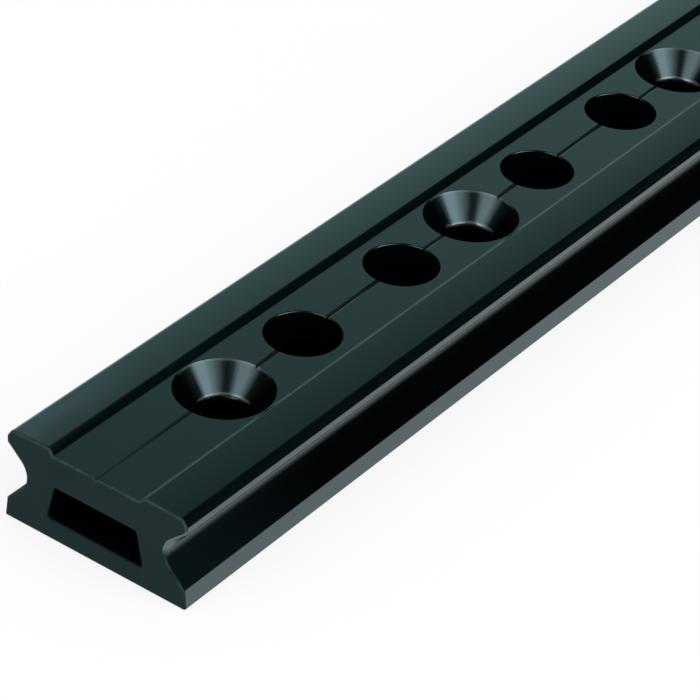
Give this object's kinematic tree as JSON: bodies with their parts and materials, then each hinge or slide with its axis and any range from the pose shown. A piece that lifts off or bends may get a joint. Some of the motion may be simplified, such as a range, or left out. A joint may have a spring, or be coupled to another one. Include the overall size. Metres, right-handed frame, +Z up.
{
  "type": "sail track section",
  "caption": "Straight black extruded track with a hollow core, a ball race along each side and a row of countersunk and plain holes down its crown.",
  "frame": {"origin": "middle of the underside, halfway along the length", "axes": "+Y along the track, away from the end that the picture shows; +X to the right when looking along +Y; +Z up, out of the crown"},
  "size_m": [0.0266, 0.996, 0.0126],
  "materials": {
    "anodised_aluminium": "black hard-anodised, satin, with fine lines along the extrusion"
  },
  "bodies": {
    "root": {"track": "anodised_aluminium"}
  },
  "joints": []
}
